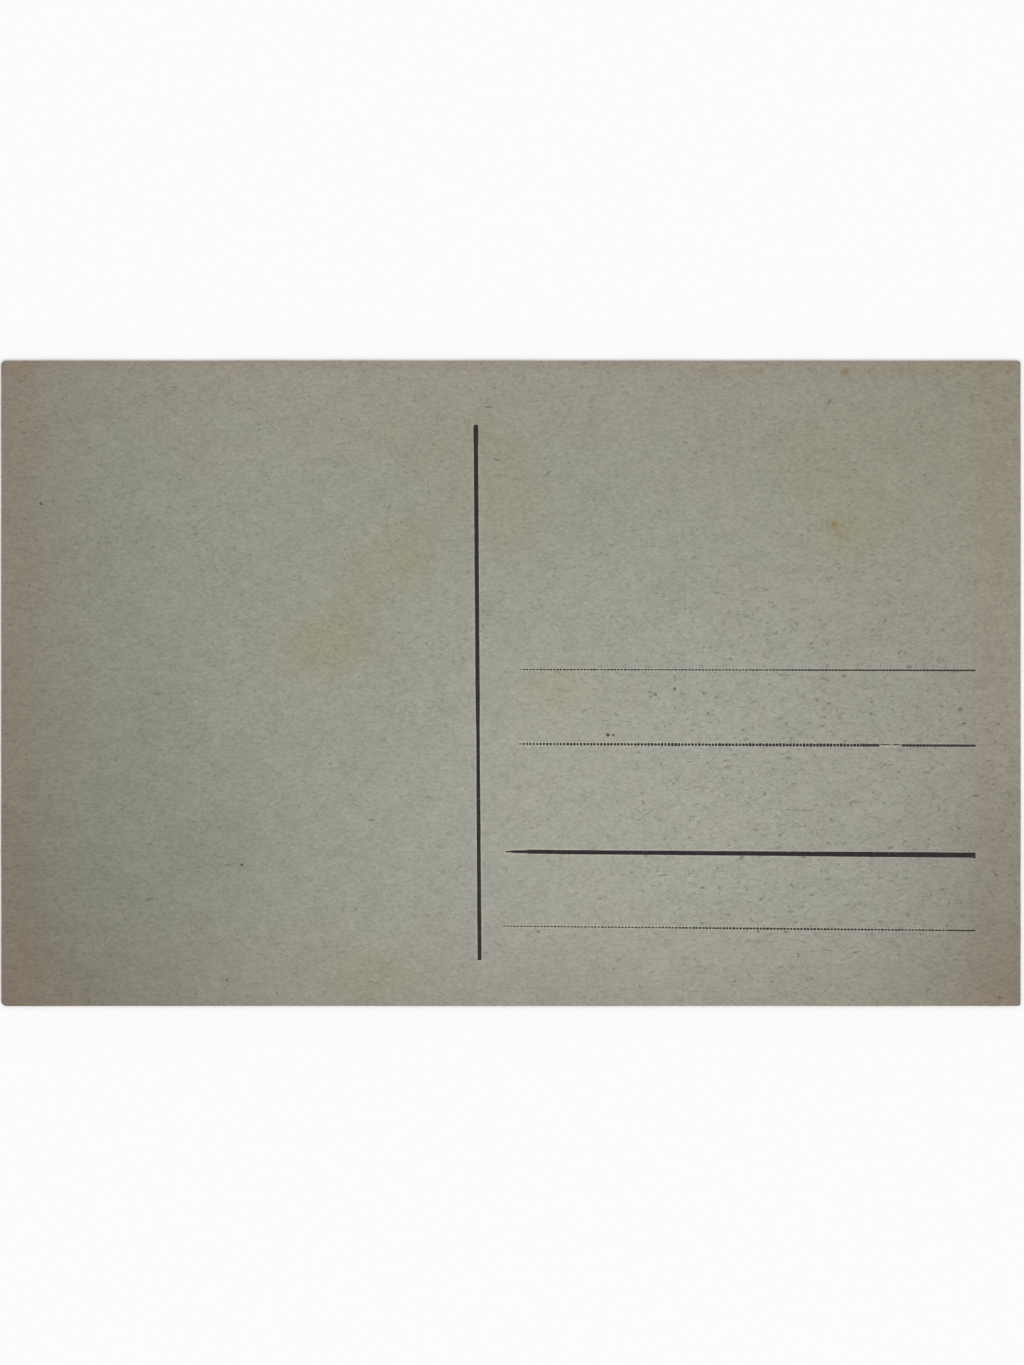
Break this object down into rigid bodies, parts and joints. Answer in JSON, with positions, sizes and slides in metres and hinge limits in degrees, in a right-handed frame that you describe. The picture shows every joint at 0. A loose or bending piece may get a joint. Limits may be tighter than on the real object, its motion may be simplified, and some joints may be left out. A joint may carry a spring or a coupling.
{
  "type": "postcard",
  "caption": "Flat rectangular picture postcard of pasted board, address side up, with a printed divider and dotted and solid address rules.",
  "frame": {"origin": "middle of the picture face, which is the face that the card lies on", "axes": "+X along the long side, +Y to the top edge of the address side, +Z out of the address side"},
  "size_m": [0.139, 0.088, 0.0004],
  "materials": {
    "picture_coating": "smooth chalk coating with a printed brown-toned picture",
    "liner_paper": "matt wood-pulp paper",
    "paste": "dried starch paste",
    "core_board": "coarse grey wood-pulp board",
    "address_paper": "matt flecked wood-pulp paper, toned and stained by age",
    "rule_ink": "dried letterpress ink"
  },
  "bodies": {
    "root": {"picture_coating": "picture_coating", "front_liner": "liner_paper", "front_paste": "paste", "core_ply": "core_board", "back_paste": "paste", "back_liner": "address_paper", "divider_rule": "rule_ink", "address_rule_upper": "rule_ink", "address_rule_middle": "rule_ink", "town_rule": "rule_ink", "address_rule_lower": "rule_ink"}
  },
  "joints": []
}
